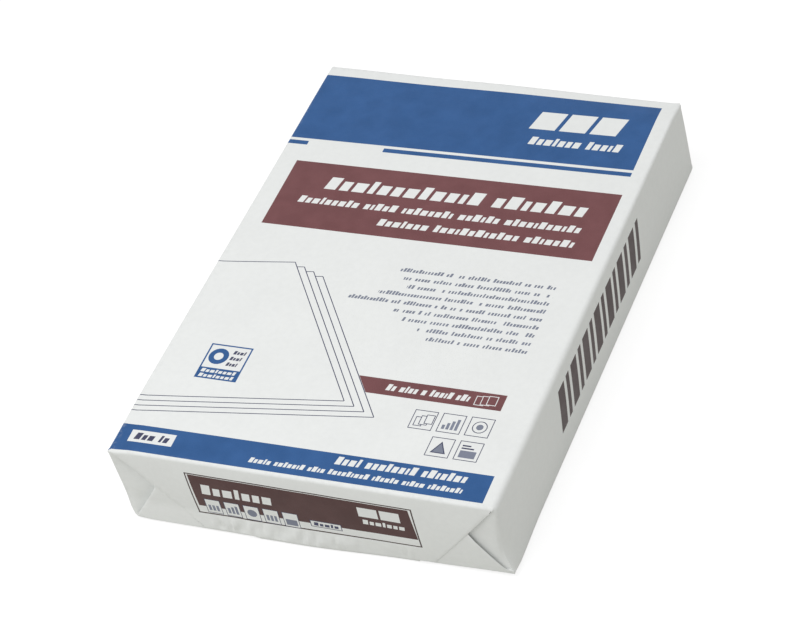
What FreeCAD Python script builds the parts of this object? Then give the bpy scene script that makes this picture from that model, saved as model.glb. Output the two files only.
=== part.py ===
import FreeCAD, Part
import math
import os

# A sealed ream of A4 copy paper: 500 sheets in one folded paper wrapper.
# Frame: millimetres, +Z up, origin under the middle of the pack on the
# surface it rests on. Sheets lie flat, their long side along Y. The end
# with the printed label faces -Y. The pack can't be seen into, so sheets
# and wrapper are one solid with the wrapper's true outer folds.

# Sheets
SHEET_WIDTH = 210.0
SHEET_LENGTH = 297.0
SHEET_THICKNESS = 0.1
SHEET_COUNT = 500

# Wrapper paper and the air it traps
WRAP_THICKNESS = 0.12
SIDE_AIR = 0.15
FOLD_AIR = 0.1

# Roundness of the folds
TOP_EDGE_RADIUS = 3.0
BOTTOM_EDGE_RADIUS = 1.8
END_FOLD_RADIUS = 1.7
CORNER_RADIUS = 2.2

# How far the panels belly out between their folds
SIDE_BELLY = 0.6
TUCK_BELLY = 0.2
BOTTOM_FLAP_BELLY = 1.0
TOP_FLAP_BELLY = 1.1

# End folds: side tucks first, then the bottom flap, then the top flap
TOP_FLAP_ANGLE = 49.0
BOTTOM_FLAP_ANGLE = 56.0
TOP_FLAP_CLEARANCE = 2.5

# Air under the free slanted edges of the flaps
BOTTOM_GAPE = 1.1
TOP_GAPE = 0.9
GAPE_DEPTH = 6.0

# Lap seam along the underside, carried on up the bottom flaps
LAP_INNER_EDGE = -32.0
LAP_OUTER_EDGE = 55.0
LAP_RAMP = 4.0
LAP_RISE = 0.6
LAP_STEP = 0.5

# Worked out from the sizes above
STACK_HEIGHT = SHEET_COUNT * SHEET_THICKNESS
HALF_WIDTH = SHEET_WIDTH / 2 + SIDE_AIR + WRAP_THICKNESS
TOP = LAP_RISE + STACK_HEIGHT + 2 * WRAP_THICKNESS
FOLDED_LAYER = 2 * WRAP_THICKNESS + FOLD_AIR
TUCK_FACE = SHEET_LENGTH / 2 + FOLDED_LAYER
FLAP_FACE = TUCK_FACE + FOLDED_LAYER
LAP_FACE = FLAP_FACE + LAP_STEP
OVERLAP_FACE = LAP_FACE + FOLDED_LAYER
MARGIN = 5.0

# The wrapper is cut straight, so the bottom flaps are as long as the top ones
BOTTOM_FLAP_REACH = LAP_RISE + TOP - TOP_FLAP_CLEARANCE


def line(start, end):
    return Part.LineSegment(start, end).toShape()


def arc(start, middle, end):
    return Part.Arc(start, middle, end).toShape()


def in_xy(a, b):
    return FreeCAD.Vector(a, b, 0)


def in_xz(a, b):
    return FreeCAD.Vector(a, 0, b)


def in_yz(a, b):
    return FreeCAD.Vector(0, a, b)


def corner_arc(plane, centre, radius, start_turn):
    """Quarter circle in a plane, from start_turn degrees on to 90 more."""
    points = []
    for turn in (start_turn, start_turn + 45, start_turn + 90):
        angle = math.radians(turn)
        points.append(plane(centre[0] + radius * math.cos(angle), centre[1] + radius * math.sin(angle)))
    return arc(*points)


def rounded_outline(plane, low, high, low_half, high_half, low_radius, high_radius, belly):
    """Closed outline from low to high, with round corners and bellied sides.

    low_half and high_half are its half widths at the lower and upper end."""
    middle = (low + high) / 2
    middle_half = (low_half + high_half) / 2 + belly
    foot = low_half - low_radius
    head = high_half - high_radius
    return Part.Wire([
        line(plane(-foot, low), plane(foot, low)),
        corner_arc(plane, (foot, low + low_radius), low_radius, -90),
        arc(plane(low_half, low + low_radius), plane(middle_half, middle),
            plane(high_half, high - high_radius)),
        corner_arc(plane, (head, high - high_radius), high_radius, 0),
        line(plane(head, high), plane(-head, high)),
        corner_arc(plane, (-head, high - high_radius), high_radius, 90),
        arc(plane(-high_half, high - high_radius), plane(-middle_half, middle),
            plane(-low_half, low + low_radius)),
        corner_arc(plane, (-foot, low + low_radius), low_radius, 180),
    ])


def extruded(outline, direction, length):
    """Solid of an outline, pushed along direction to both sides of its plane."""
    step = FreeCAD.Vector(*direction) * length
    face = Part.Face(outline)
    face.translate(step * -0.5)
    return face.extrude(step)


def closed_pack(underside, foot_face, head_face, belly):
    """A wrapped stack closed off at both ends, with all its folds round.

    foot_face and head_face say how far along Y the ends stand, at the
    bottom fold and at the top fold."""
    tip = (foot_face + head_face) / 2 + belly
    across = rounded_outline(
        in_xz, underside, TOP, HALF_WIDTH, HALF_WIDTH, BOTTOM_EDGE_RADIUS, TOP_EDGE_RADIUS, SIDE_BELLY)
    along = rounded_outline(
        in_yz, underside, TOP, foot_face, head_face, END_FOLD_RADIUS, END_FOLD_RADIUS, belly)
    plan = rounded_outline(
        in_xy, -tip, tip, HALF_WIDTH, HALF_WIDTH, CORNER_RADIUS, CORNER_RADIUS, SIDE_BELLY)
    pack = extruded(across, (0, 1, 0), 2 * (tip + MARGIN))
    pack = pack.common(extruded(along, (1, 0, 0), 2 * (HALF_WIDTH + SIDE_BELLY + MARGIN)))
    return pack.common(extruded(plan, (0, 0, 1), 2 * (TOP + MARGIN)))


def slope(angle):
    return math.tan(math.radians(angle))


def flap_region(fold_height, free_height, angle):
    """Slanted-sided block that keeps what belongs to the flaps of one fold."""
    beyond = fold_height + math.copysign(MARGIN, fold_height - free_height)
    wide = HALF_WIDTH + MARGIN / slope(angle)
    narrow = HALF_WIDTH - abs(fold_height - free_height) / slope(angle)
    corners = [
        in_xz(-wide, beyond), in_xz(wide, beyond),
        in_xz(narrow, free_height), in_xz(-narrow, free_height),
    ]
    outline = Part.makePolygon(corners + corners[:1])
    return extruded(outline, (0, 1, 0), 2 * (OVERLAP_FACE + TOP_FLAP_BELLY + MARGIN))


def gape(side, end, fold_height, rise, angle, opening):
    """Wedge of air under a flap's slanted edge, from its corner to past the crossing.

    rise is 1 for a flap that is folded up and -1 for one folded down."""
    crossing_inset = (TOP - LAP_RISE) / (slope(TOP_FLAP_ANGLE) + slope(BOTTOM_FLAP_ANGLE))
    run = crossing_inset / math.cos(math.radians(angle))
    inward = FreeCAD.Vector(-side * math.cos(math.radians(angle)), 0, rise * math.sin(math.radians(angle)))
    away = FreeCAD.Vector(side * math.sin(math.radians(angle)), 0, rise * math.cos(math.radians(angle)))
    corner = FreeCAD.Vector(side * HALF_WIDTH, end * TUCK_FACE, fold_height)
    summit = corner + inward * (run + GAPE_DEPTH)
    root = summit - away * GAPE_DEPTH
    lip = summit + away * opening
    outer_lip = lip + FreeCAD.Vector(0, end * opening, 0)
    points = [corner, root, lip, outer_lip]
    triangles = [(0, 1, 2), (0, 1, 3), (1, 2, 3), (0, 2, 3)]
    faces = [Part.Face(Part.makePolygon([points[i], points[j], points[k], points[i]]))
             for i, j, k in triangles]
    return Part.Solid(Part.Shell(faces))


def with_gapes(flaps, fold_height, rise, angle, opening):
    for side in (-1, 1):
        for end in (-1, 1):
            flaps = flaps.cut(gape(side, end, fold_height, rise, angle, opening))
    return flaps


def bottom_flaps():
    """Both bottom flaps, folded up over the side tucks."""
    region = flap_region(LAP_RISE, BOTTOM_FLAP_REACH, BOTTOM_FLAP_ANGLE)
    flaps = closed_pack(LAP_RISE, FLAP_FACE, FLAP_FACE, BOTTOM_FLAP_BELLY).common(region)
    return with_gapes(flaps, LAP_RISE, 1, BOTTOM_FLAP_ANGLE, BOTTOM_GAPE)


def top_flaps():
    """Both top flaps, folded down last and glued over the bottom flaps."""
    region = flap_region(TOP, TOP_FLAP_CLEARANCE, TOP_FLAP_ANGLE)
    flaps = closed_pack(LAP_RISE, OVERLAP_FACE, FLAP_FACE, TOP_FLAP_BELLY).common(region)
    return with_gapes(flaps, TOP, -1, TOP_FLAP_ANGLE, TOP_GAPE)


def lap_seam():
    """Outer layer of the lap seam, under the pack and up the bottom flaps."""
    corners = [
        in_xz(LAP_INNER_EDGE - LAP_RAMP, LAP_RISE), in_xz(LAP_INNER_EDGE, 0),
        in_xz(LAP_OUTER_EDGE, 0), in_xz(LAP_OUTER_EDGE, BOTTOM_FLAP_REACH),
        in_xz(LAP_INNER_EDGE - LAP_RAMP, BOTTOM_FLAP_REACH),
    ]
    outline = Part.makePolygon(corners + corners[:1])
    strip = extruded(outline, (0, 1, 0), 2 * (LAP_FACE + BOTTOM_FLAP_BELLY + MARGIN))
    return closed_pack(0, LAP_FACE, FLAP_FACE, BOTTOM_FLAP_BELLY).common(strip)


def wrapped_ream():
    tucked_stack = closed_pack(LAP_RISE, TUCK_FACE, TUCK_FACE, TUCK_BELLY)
    pack = tucked_stack.fuse([bottom_flaps(), lap_seam(), top_flaps()])
    return pack.removeSplitter()


if __name__ == "__main__":
    os.makedirs("parts", exist_ok=True)
    ream = wrapped_ream()
    ream.exportStep("parts/wrapped_ream.step")
    print("wrapped_ream", ream.ShapeType, len(ream.Solids), "solid, valid:", ream.isValid(),
          "volume cm3: %.1f" % (ream.Volume / 1000),
          "box: %.2f x %.2f x %.2f" % (ream.BoundBox.XLength, ream.BoundBox.YLength, ream.BoundBox.ZLength))
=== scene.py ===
import math
from collections import namedtuple

import bmesh
import bpy
from bpy.props import FloatProperty, FloatVectorProperty, PointerProperty
from mathutils import Matrix, Vector, noise


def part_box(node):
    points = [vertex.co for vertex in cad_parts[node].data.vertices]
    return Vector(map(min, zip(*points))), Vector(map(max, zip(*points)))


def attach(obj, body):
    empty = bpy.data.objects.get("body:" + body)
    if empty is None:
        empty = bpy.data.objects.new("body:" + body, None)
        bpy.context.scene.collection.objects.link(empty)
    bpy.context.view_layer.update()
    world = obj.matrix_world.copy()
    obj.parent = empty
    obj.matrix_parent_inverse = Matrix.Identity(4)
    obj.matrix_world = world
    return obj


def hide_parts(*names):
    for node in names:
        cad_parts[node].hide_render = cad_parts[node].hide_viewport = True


bl_info = {
    "name": "Wrapped Ream",
    "version": (1, 0, 0),
    "blender": (4, 5, 0),
    "location": "3D View > Sidebar > Ream",
    "description": "Models a sealed ream of A4 paper with its folds, plain print and studio",
    "category": "Add Mesh",
}

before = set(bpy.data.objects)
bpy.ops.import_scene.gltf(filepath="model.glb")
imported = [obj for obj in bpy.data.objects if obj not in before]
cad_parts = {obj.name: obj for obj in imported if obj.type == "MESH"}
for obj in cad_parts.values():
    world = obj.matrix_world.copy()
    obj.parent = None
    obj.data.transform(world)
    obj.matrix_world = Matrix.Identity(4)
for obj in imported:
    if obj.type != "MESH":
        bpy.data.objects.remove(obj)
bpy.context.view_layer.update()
REAM_LOW, REAM_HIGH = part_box("wrapped_ream")

MM = 0.001
PIECE = "ream_wrapper"
ENDS = (-1, 1)
SIDES = (-1, 1)
X_AXIS = Vector((1, 0, 0))
Y_AXIS = Vector((0, 1, 0))
Z_AXIS = Vector((0, 0, 1))
CUT_REACH = 0.01 * MM
TINY = 0.002 * MM
# Cosine from which two directions count as one
ALIGNED = 0.9
FACING = 0.99

# Finishes, in the order of the wrapper's material slots. The label's finish is the maroon ink again,
# darkened with painted shade
PAPER, BLUE, MAROON, MAROON_PAINTED_SHADE, LINE, GREY, SMALL, DARK = range(8)


def length(title, what, default):
    """A size in metres that the user can set."""
    return FloatProperty(name=title, description=what, default=default, unit="LENGTH", precision=5)


def tint(title, what, default):
    """A linear colour that the user can set."""
    return FloatVectorProperty(
        name=title, description=what, default=default, subtype="COLOR", size=3, min=0, max=1)


class ReamSizes(bpy.types.PropertyGroup):
    """Sizes of the stack and its wrapper."""

    half_width: length("Half width", "Middle of the pack to its side panels", 0.10527)
    tuck_face: length("Tuck face", "Middle of the pack to the side tucks at its ends", 0.14884)
    top: length("Top", "Height of the top panel", REAM_HIGH.z)
    lap_rise: length("Lap rise", "How far the lap seam lifts the pack", 0.0006)
    top_radius: length("Top fold", "Roundness of the long folds of the top panel", 0.003)
    bottom_radius: length("Bottom fold", "Roundness of the long folds underneath", 0.0018)
    end_radius: length("End fold", "Roundness of the folds that the flaps turn on", 0.0017)
    corner_radius: length("Corner", "Roundness of the upright folds", 0.0022)
    layer: length("Folded layer", "Thickness of one folded flap and the air under it", 0.00034)
    lap_step: length("Lap step", "How far the lap seam pushes the end flaps out", 0.0005)
    lap_inner: length("Lap inner edge", "Where the lap seam starts under the pack", -0.032)
    lap_outer: length("Lap outer edge", "Where the outer layer of the lap seam ends", 0.055)
    lap_ramp: length("Lap ramp", "Width over which the outer layer climbs the inner one", 0.004)
    flap_foot: length("Flap foot", "Height of the free edge of the top flaps", 0.0025)
    side_belly: length("Side belly", "How far the side panels bulge", 0.0006)
    tuck_belly: length("Tuck belly", "How far the side tucks bulge", 0.0002)
    flap_belly: length("Flap belly", "How far the end flaps bulge", 0.00105)


class ReamColours(bpy.types.PropertyGroup):
    """Colours of the wrapping paper and its inks."""

    paper: tint("Paper", "White of the wrapping paper", (0.83, 0.845, 0.835))
    blue: tint("Blue ink", "Bands on the top panel", (0.024, 0.097, 0.272))
    maroon: tint("Maroon ink", "Fields on the top panel", (0.165, 0.06, 0.064))
    # The maroon ink again, made darker for the end: painted shade, because the end shows less sheen
    # than the top
    maroon_painted_shade: tint("Maroon ink, painted shade", "Field of the label on the end", (0.075, 0.032, 0.029))
    line: tint("Line ink", "Thin outlines and small marks", (0.05, 0.055, 0.11))
    grey: tint("Grey ink", "Small shapes and small print", (0.2, 0.22, 0.285))
    dark: tint("Dark ink", "Stripes on the side panel", (0.045, 0.024, 0.023))


class ReamStage(bpy.types.PropertyGroup):
    """Camera and light of the studio."""

    azimuth: FloatProperty(
        name="Azimuth", description="Turn of the camera from the front to the right",
        default=math.radians(32.64), subtype="ANGLE")
    elevation: FloatProperty(
        name="Elevation", description="Height of the camera above the horizon",
        default=math.radians(42.94), subtype="ANGLE")
    roll: FloatProperty(
        name="Roll", description="Turn of the camera about its line of sight",
        default=math.radians(-16.18), subtype="ANGLE")
    distance: length("Distance", "Camera to the point it looks at", 1.4967)
    lens: FloatProperty(name="Lens", description="Focal length in millimetres", default=127.9)
    key_energy: FloatProperty(
        name="Key light", description="Power of the light above the pack", default=9.0, subtype="POWER")
    sky: FloatProperty(name="Sky", description="Light from all round the pack", default=0.62)


# Editing

def edited():
    """The mesh in edit mode and its points, edges and faces."""
    mesh = bpy.context.edit_object.data
    return mesh, bmesh.from_edit_mesh(mesh)


def centre_of(face):
    return face.calc_center_median()


def pick(test=None):
    """Select in edit mode only the faces that pass a test, or all of them."""
    bpy.ops.mesh.select_all(action="DESELECT")
    mesh, shell = edited()
    for face in shell.faces:
        if test is None or test(face):
            face.select_set(True)
    bmesh.update_edit_mesh(mesh, loop_triangles=False)


def cut(point, normal, test=None):
    """Cut the faces that pass a test along a plane."""
    pick(test)
    bpy.ops.mesh.bisect(plane_co=point, plane_no=normal, threshold=CUT_REACH)


def cut_rows(axis, low, high, count, test=None):
    """Cut evenly spaced rows across the faces that pass a test."""
    for k in range(count + 1):
        cut(axis * (low + (high - low) * k / count), axis, test)


def start_edit(piece):
    """Go into edit mode on a piece, with faces to select."""
    bpy.ops.object.select_all(action="DESELECT")
    bpy.context.view_layer.objects.active = piece
    piece.select_set(True)
    bpy.ops.object.mode_set(mode="EDIT")
    bpy.ops.mesh.select_mode(type="FACE")


def end_edit():
    bpy.ops.object.mode_set(mode="OBJECT")


def wrapper():
    piece = bpy.data.objects.get(PIECE)
    if piece is None:
        raise RuntimeError("The wrapper comes first")
    return piece


def smooth(value, low, high):
    """0 below low, 1 above high and a soft step between."""
    share = min(max((value - low) / (high - low), 0), 1)
    return share * share * (3 - 2 * share)


# Wrapper

FOLD_SEGMENTS = 6
# Rows of faces across, along and up the pack, and their distance from its folds
ROWS_ACROSS, ROWS_ALONG, ROWS_UP = 30, 42, 10
ROW_MARGIN = 0.8 * MM
# Where the glue of the end flaps puckers the paper, and the closer rows of faces there
GLUE_LEFT = -68 * MM
GLUE_RIGHT = 58 * MM
GLUE_HEAD = 14.5 * MM
GLUE_COLUMNS, GLUE_ROWS = 100, 4


def weigh_edges(direction, height_sign, radius, widest):
    """Give the block's edges along an axis their roundness, as a share of the widest one."""
    bpy.ops.mesh.select_all(action="DESELECT")
    mesh, shell = edited()
    middle = sum(v.co.z for v in shell.verts) / len(shell.verts)
    for edge in shell.edges:
        start, end = (v.co for v in edge.verts)
        along = abs((end - start).normalized().dot(direction)) > ALIGNED
        height = (start.z + end.z) / 2 - middle
        if along and (height_sign == 0 or height * height_sign > TINY):
            edge.select_set(True)
    bmesh.update_edit_mesh(mesh)
    bpy.ops.transform.edge_bevelweight(value=radius / widest)


def add_block(size):
    """The wrapped stack as a block with round folds."""
    height = size.top - size.lap_rise
    bpy.ops.object.select_all(action="DESELECT")
    bpy.ops.mesh.primitive_cube_add(
        size=1, location=(0, 0, size.lap_rise + height / 2),
        scale=(2 * size.half_width, 2 * size.tuck_face, height))
    block = bpy.context.object
    block.name = PIECE
    block.data.name = PIECE
    bpy.ops.object.transform_apply(location=True, rotation=True, scale=True)
    start_edit(block)
    bpy.ops.mesh.select_mode(type="EDGE")
    widest = size.top_radius
    for direction, height_sign, radius in (
            (Y_AXIS, 1, size.top_radius), (Y_AXIS, -1, size.bottom_radius),
            (X_AXIS, 1, size.end_radius), (X_AXIS, -1, size.end_radius),
            (Z_AXIS, 0, size.corner_radius)):
        weigh_edges(direction, height_sign, radius, widest)
    end_edit()
    bpy.ops.object.modifier_add(type="BEVEL")
    bevel = block.modifiers[-1]
    bevel.limit_method = "WEIGHT"
    bevel.width = widest
    bevel.segments = FOLD_SEGMENTS
    bpy.ops.object.modifier_apply(modifier=bevel.name)
    return block


def add_rows(size):
    """Rows of faces over the panels, close enough for soft dents and puckers."""
    across = size.half_width - size.top_radius - ROW_MARGIN
    along = size.tuck_face - size.corner_radius - ROW_MARGIN
    cut_rows(X_AXIS, -across, across, ROWS_ACROSS)
    cut_rows(Y_AXIS, -along, along, ROWS_ALONG)
    for end in ENDS:
        cut(Y_AXIS * end * (size.tuck_face - size.end_radius), Y_AXIS)
    low = size.lap_rise + size.end_radius + ROW_MARGIN
    high = size.top - size.top_radius - ROW_MARGIN
    cut_rows(Z_AXIS, low, high, ROWS_UP)
    pitch = 2 * across / ROWS_ACROSS

    def on_end(face):
        return abs(face.normal.y) > FACING

    def on_glue(face):
        return on_end(face) and centre_of(face).z < GLUE_HEAD

    cut_rows(X_AXIS, -across + pitch / 2, across - pitch / 2, ROWS_ACROSS - 1, on_end)
    cut(Z_AXIS * GLUE_HEAD, Z_AXIS, on_end)
    cut_rows(X_AXIS, GLUE_LEFT, GLUE_RIGHT, GLUE_COLUMNS, on_glue)
    cut_rows(Z_AXIS, low, GLUE_HEAD, GLUE_ROWS, on_glue)


class REAM_OT_wrapper(bpy.types.Operator):
    """Model the wrapped stack with its long folds"""

    bl_idname = "ream.wrapper"
    bl_label = "Wrapped Stack"

    def execute(self, context):
        size = context.scene.ream_sizes
        block = add_block(size)
        start_edit(block)
        add_rows(size)
        end_edit()
        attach(block, "root")
        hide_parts("wrapped_ream")
        return {"FINISHED"}


# End folds

TOP_FLAP_ANGLE = math.radians(50)
BOTTOM_FLAP_ANGLE = math.radians(56)
# How far inside the pack's corners the slanted edges start, on the left and on the right
TOP_FLAP_INSETS = (0.8 * MM, 0.6 * MM)
BOTTOM_FLAP_INSETS = (1.5 * MM, -1.7 * MM)
# Steps in which a flap is lifted: the air under it, its rounded lower edge and the paper
GAP, ROUND, SHEET = 0.10 * MM, 0.06 * MM, 0.18 * MM
LAYERS = (GAP, ROUND, SHEET)
# How far a flap's outermost edge is drawn in, so that it slopes
EDGE_SLOPE = 0.4 * MM
# Depth of the gaps under the bottom flaps, of the one that is nearly shut and of those under
# the top flaps. They open over a run from a corner, the bottom ones no deeper than a share of it.
BOTTOM_GAP = 6 * MM
SHUT_GAP = 0.8 * MM
TOP_GAP = 4 * MM
BOTTOM_GAP_RUN = 4 * MM
TOP_GAP_RUN = 10 * MM
GAP_SHARE = 0.6
# Points this near to the crossing of two slanted edges move level
CROSSING_REACH = 0.5 * MM
ON_EDGE = 4 * TINY


def slants(size, rise):
    """The two slanted edges of a flap: rise is 1 for the bottom flap and -1 for the top one."""
    angle = BOTTOM_FLAP_ANGLE if rise > 0 else TOP_FLAP_ANGLE
    insets = BOTTOM_FLAP_INSETS if rise > 0 else TOP_FLAP_INSETS
    fold = size.lap_rise if rise > 0 else size.top
    planes = []
    for side, inset in zip(SIDES, insets):
        corner = Vector((side * (size.half_width - inset), 0, fold))
        planes.append((corner, Vector((side * math.sin(angle), 0, rise * math.cos(angle)))))
    return planes


def within(point, planes):
    return all((point - corner).dot(normal) < -TINY for corner, normal in planes)


def crossing(size, side):
    """Height at which the slanted edges of the top and bottom flaps cross on a side."""
    top, bottom = 1 / math.tan(TOP_FLAP_ANGLE), 1 / math.tan(BOTTOM_FLAP_ANGLE)
    which = SIDES.index(side)
    apart = TOP_FLAP_INSETS[which] - BOTTOM_FLAP_INSETS[which]
    return (apart + size.top * top + size.lap_rise * bottom) / (top + bottom)


def fold_end(size, end):
    """Cut the flaps' outlines into an end and lift them in two layers."""
    start = size.tuck_face - size.end_radius
    top_slants = slants(size, -1)
    bottom_slants = slants(size, 1)
    foot = (Z_AXIS * size.flap_foot, -Z_AXIS)

    def on_end(face):
        return centre_of(face).y * end > start

    def under_top(face):
        return on_end(face) and within(centre_of(face), top_slants)

    def beside_top(face):
        return on_end(face) and not under_top(face)

    def on_top_flap(face):
        return under_top(face) and within(centre_of(face), [foot])

    def on_flaps(face):
        return under_top(face) or on_end(face) and within(centre_of(face), bottom_slants)

    for corner, normal in top_slants:
        cut(corner, normal, on_end)
    for corner, normal in bottom_slants:
        cut(corner, normal, beside_top)
    cut(*foot, under_top)
    for test in (on_flaps, on_top_flap):
        pick(test)
        for lift in LAYERS:
            bpy.ops.mesh.extrude_region_move(TRANSFORM_OT_translate={"value": (0, end * lift, 0)})


# Crease across the front left tuck, from its foot to its head: how far inside the side panel
# each point lies, and its height. Beyond it the tuck slopes back, down to a greatest depth.
TUCK_CREASE = ((1.5 * MM, 3 * MM), (7.5 * MM, 23 * MM), (1.0 * MM, 46 * MM))
TUCK_REACH = 14 * MM
TUCK_SLOPE = 0.33
TUCK_DEPTH = 2.4 * MM


def beyond_crease(size, point):
    """How far a point of the tuck lies beyond its crease."""
    inside = size.half_width - abs(point.x)
    for low, high in zip(TUCK_CREASE, TUCK_CREASE[1:]):
        if low[1] <= point.z <= high[1]:
            share = (point.z - low[1]) / (high[1] - low[1])
            return max(inside - low[0] - share * (high[0] - low[0]), 0)
    return 0


def crease_tuck(size):
    """Cut the crease into the front left tuck."""
    def on_tuck(face):
        centre = centre_of(face)
        flat = abs(centre.y + size.tuck_face) < TINY
        return flat and centre.x < TUCK_REACH - size.half_width

    for low, high in zip(TUCK_CREASE, TUCK_CREASE[1:]):
        def between(face):
            return on_tuck(face) and low[1] < centre_of(face).z < high[1]

        start = Vector((low[0] - size.half_width, 0, low[1]))
        run = Vector((high[0] - low[0], 0, high[1] - low[1]))
        cut(Z_AXIS * low[1], Z_AXIS, on_tuck)
        cut(Z_AXIS * high[1], Z_AXIS, on_tuck)
        cut(start, run.cross(Y_AXIS), between)


def gap_depth(point):
    """How deep the gap under a bottom flap's free edge is. At the front left it is nearly shut."""
    return SHUT_GAP if point.x < 0 and point.y < 0 else BOTTOM_GAP


def open_gaps(size):
    """Draw the walls under the flaps' free edges inwards and slope the outermost edges."""
    mesh, shell = edited()
    tuck = size.tuck_face
    heights = [crossing(size, side) for side in SIDES]
    top_slants = slants(size, -1)
    bottom_slants = slants(size, 1)

    def at(vert, height):
        return abs(abs(vert.co.y) - tuck - height) < TINY

    def near(vert, height):
        return any(at(edge.other_vert(vert), height) for edge in vert.link_edges)

    def free_edge(vert, planes, foot):
        """Way into the flap from the free edge that a point lies on."""
        corner, normal = planes[vert.co.x > 0]
        inward = Vector()
        if abs((vert.co - corner).dot(normal)) < ON_EDGE:
            inward -= normal
        if foot and abs(vert.co.z - size.flap_foot) < ON_EDGE:
            inward += Z_AXIS
        return inward

    moves = []
    for vert in shell.verts:
        cross = heights[vert.co.x > 0]
        lower = at(vert, GAP) or (at(vert, 0) and near(vert, GAP))
        upper = at(vert, size.layer + GAP) or (at(vert, size.layer) and near(vert, size.layer + GAP))
        if lower:
            planes = top_slants if vert.co.z > cross else bottom_slants
            corner, normal = planes[vert.co.x > 0]
            inward = -normal
            if abs(vert.co.z - cross) < CROSSING_REACH:
                inward = Vector((-normal.x, 0, 0)).normalized()
            run = (vert.co - corner).xz.length
            depth = min(gap_depth(vert.co), GAP_SHARE * run) * smooth(run, 0, BOTTOM_GAP_RUN)
            moves.append((vert, inward * depth))
        elif vert.co.z < cross - TINY and upper:
            inward = free_edge(vert, top_slants, True)
            moves.append((vert, inward * TOP_GAP * smooth(cross - vert.co.z, 0, TOP_GAP_RUN)))
        elif vert.co.z < cross - TINY and at(vert, size.layer) and near(vert, GAP + ROUND):
            moves.append((vert, free_edge(vert, bottom_slants, False) * EDGE_SLOPE))
        elif at(vert, 2 * size.layer) and near(vert, size.layer + GAP + ROUND):
            moves.append((vert, free_edge(vert, top_slants, True) * EDGE_SLOPE))
    for vert, move in moves:
        vert.co += move
    bmesh.update_edit_mesh(mesh)


class REAM_OT_end_folds(bpy.types.Operator):
    """Model the side tucks, bottom flaps and top flaps at both ends"""

    bl_idname = "ream.end_folds"
    bl_label = "End Folds"

    def execute(self, context):
        size = context.scene.ream_sizes
        start_edit(wrapper())
        for end in ENDS:
            fold_end(size, end)
        crease_tuck(size)
        open_gaps(size)
        end_edit()
        return {"FINISHED"}


# Lap seam

LAP_EDGE = 0.15 * MM


def seam_lift(size, x):
    """Share of the lap seam's rise at a place across the pack."""
    climb = (x - size.lap_inner + size.lap_ramp) / size.lap_ramp
    drop = (size.lap_outer + LAP_EDGE - x) / LAP_EDGE
    return min(max(climb, 0), 1) * min(max(drop, 0), 1)


class REAM_OT_lap_seam(bpy.types.Operator):
    """Cut the edges of the lap seam into the underside and the bottom flaps"""

    bl_idname = "ream.lap_seam"
    bl_label = "Lap Seam"

    def execute(self, context):
        size = context.scene.ream_sizes
        low = size.flap_foot * 2
        reach = size.tuck_face + size.layer + GAP / 2

        def underneath(face):
            centre = centre_of(face)
            return centre.z < low and abs(centre.y) < reach

        start_edit(wrapper())
        edges = (
            size.lap_inner - size.lap_ramp, size.lap_inner, size.lap_outer, size.lap_outer + LAP_EDGE)
        for x in edges:
            cut(X_AXIS * x, X_AXIS, underneath)
        end_edit()
        return {"FINISHED"}


# Print. Places on a panel are in millimetres from the panel's origin.

PrintPanel = namedtuple("PrintPanel", "origin across up out")
# How far a printed face's first corner may lie off its panel, and beside its shape
FACE_REACH = 0.02 * MM
ROW_REACH = 8 * MM
# Cosine from which a face lies along its panel
FLAT = 0.9995
INSIDE = -1e-4


def on_panel(panel, point):
    """Place of a point on a panel."""
    offset = point - panel.origin
    return offset.dot(panel.across) / MM, offset.dot(panel.up) / MM


def from_panel(panel, place):
    """Point in space of a place on a panel."""
    return panel.origin + panel.across * place[0] * MM + panel.up * place[1] * MM


def side_of(start, end, place):
    """How far a place lies outside one side of an anticlockwise shape."""
    run = (end[0] - start[0], end[1] - start[1])
    return ((place[0] - start[0]) * run[1] - (place[1] - start[1]) * run[0]) / math.hypot(*run)


def edges_of(corners):
    return list(zip(corners, corners[1:] + corners[:1]))


def reach_of(panel, corners):
    """Box of space in which the faces under a shape have their first corner."""
    points = [from_panel(panel, corner) for corner in corners]
    spare = Vector([FACE_REACH if abs(panel.out[k]) > ALIGNED else ROW_REACH for k in range(3)])
    low = Vector([min(p[k] for p in points) for k in range(3)]) - spare
    high = Vector([max(p[k] for p in points) for k in range(3)]) + spare
    return low, high


def face_picker(panel, corners):
    """Test for the faces of a panel that a convex shape overlaps."""
    low, high = reach_of(panel, corners)
    sides = edges_of(corners)

    def overlaps(face):
        first = face.verts[0].co
        if not (low.x < first.x < high.x and low.y < first.y < high.y and low.z < first.z < high.z):
            return False
        if face.normal.dot(panel.out) < FLAT:
            return False
        places = [on_panel(panel, v.co) for v in face.verts]
        return not any(all(side_of(a, b, p) > INSIDE for p in places) for a, b in sides)

    return overlaps


def cut_panel(panel, start, end, test):
    """Cut the faces that pass a test along a line on a panel."""
    run = (panel.across * (end[0] - start[0]) + panel.up * (end[1] - start[1])).normalized()
    cut(from_panel(panel, start), run.cross(panel.out), test)


def ink_faces(panel, corners, ink):
    """Ink the faces that lie inside a shape that has been cut."""
    overlaps = face_picker(panel, corners)
    sides = edges_of(corners)
    for face in edited()[1].faces:
        if overlaps(face):
            place = on_panel(panel, centre_of(face))
            if all(side_of(a, b, place) < 0 for a, b in sides):
                face.material_index = ink


def print_shape(panel, corners, ink):
    """Cut a convex shape into a panel and ink the faces inside it. Corners run anticlockwise."""
    corners = [tuple(corner) for corner in corners]
    overlaps = face_picker(panel, corners)
    for start, end in edges_of(corners):
        cut_panel(panel, start, end, overlaps)
    ink_faces(panel, corners, ink)


def box(left, foot, right, head, lean=0.0):
    """Corners of a block whose head leans to the right by a share of its height."""
    shift = lean * (head - foot)
    return [(left, foot), (right, foot), (right + shift, head), (left + shift, head)]


def print_box(panel, left, foot, right, head, ink, lean=0.0):
    print_shape(panel, box(left, foot, right, head, lean), ink)


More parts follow.
